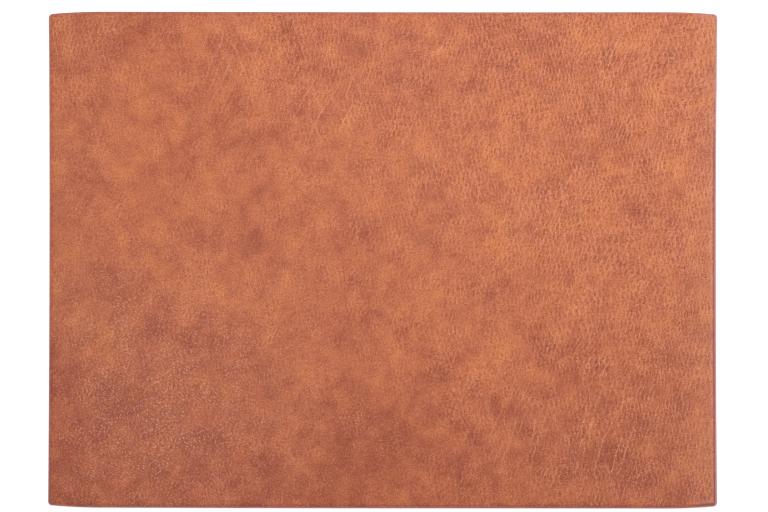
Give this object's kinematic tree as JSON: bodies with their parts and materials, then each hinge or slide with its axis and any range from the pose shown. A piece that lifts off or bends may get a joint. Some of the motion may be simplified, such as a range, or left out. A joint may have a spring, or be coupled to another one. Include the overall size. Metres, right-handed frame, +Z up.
{
  "type": "desk mat",
  "caption": "Flat rectangular desk mat with a grained leather-look face, a soft non-slip back and a rounded painted edge.",
  "frame": {"origin": "under the middle of the mat, on the desk that it lies on", "axes": "+X along the long edges, +Y along the short edges towards the far edge, +Z up out of the grained face"},
  "size_m": [0.45, 0.334, 0.0024],
  "materials": {
    "face_leather": "tan coated faux leather with a pebbled grain, fine lighter creases, cloudy mottling and a satin sheen",
    "base_cloth": "fine knitted backing cloth, raw",
    "adhesive": "thin cured film of adhesive",
    "core_board": "bonded leather fibre board, pared along its rim",
    "back_suede": "short-napped microfibre with a non-slip touch",
    "edge_paint": "flexible rose-brown edge paint, satin, brushed on as a rounded bead"
  },
  "bodies": {
    "root": {"back_sheet": "back_suede", "lower_bond": "adhesive", "core_board": "core_board", "upper_bond": "adhesive", "face_cloth": "base_cloth", "face_coat": "face_leather", "edge_coat": "edge_paint"}
  },
  "joints": []
}
